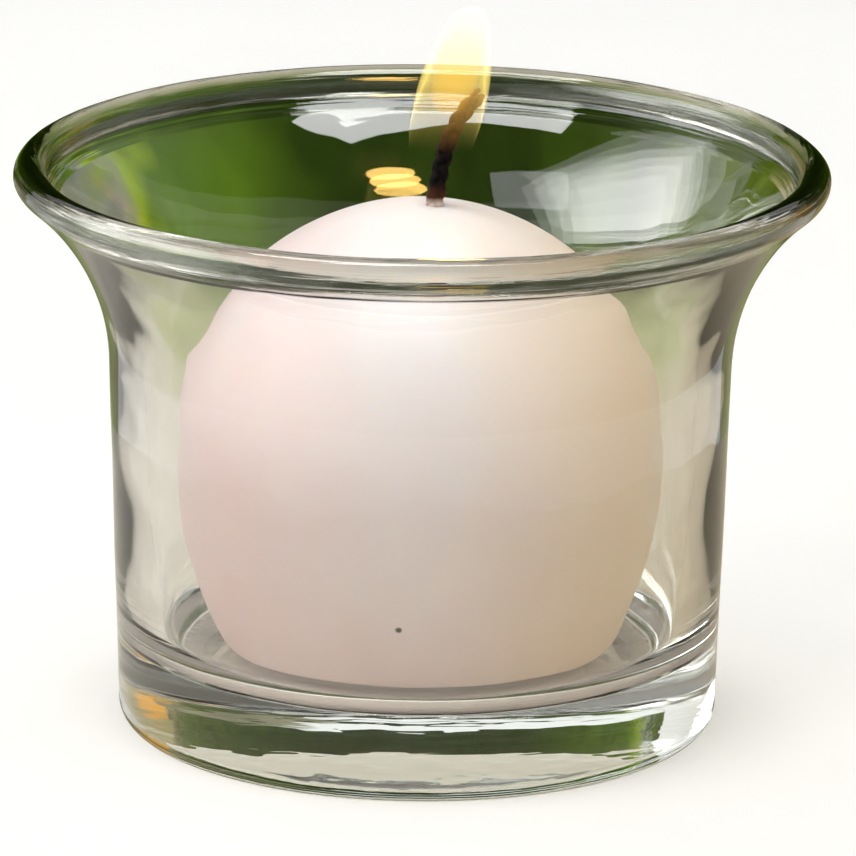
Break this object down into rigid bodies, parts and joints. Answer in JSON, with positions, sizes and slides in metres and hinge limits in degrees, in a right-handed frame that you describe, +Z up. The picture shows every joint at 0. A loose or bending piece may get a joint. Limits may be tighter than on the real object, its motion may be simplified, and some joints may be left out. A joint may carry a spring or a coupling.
{
  "type": "glass votive holder",
  "caption": "Clear pressed-glass votive cup with a thick base and a flared rim, holding a white ball candle that lifts out by hand.",
  "frame": {"origin": "centre of the base, on the surface that the holder stands on", "axes": "+Z up along the cup's axis, +X the way the wick curls, -Y the side that the picture is taken from"},
  "size_m": [0.084, 0.084, 0.0672],
  "materials": {
    "clear_glass": "fire-polished",
    "white_wax": "satin wax",
    "charred_cotton": "charred",
    "tin_plate": "tin plate"
  },
  "bodies": {
    "holder": {"glass_holder": "clear_glass"},
    "candle": {"wax_ball": "white_wax", "wick": "charred_cotton", "wick_tab": "tin_plate"}
  },
  "joints": [
    {"name": "candle_lift", "type": "slide", "parent": "holder", "child": "candle", "axis": [0, 0, 1], "range_m": [0, 0.06]}
  ]
}
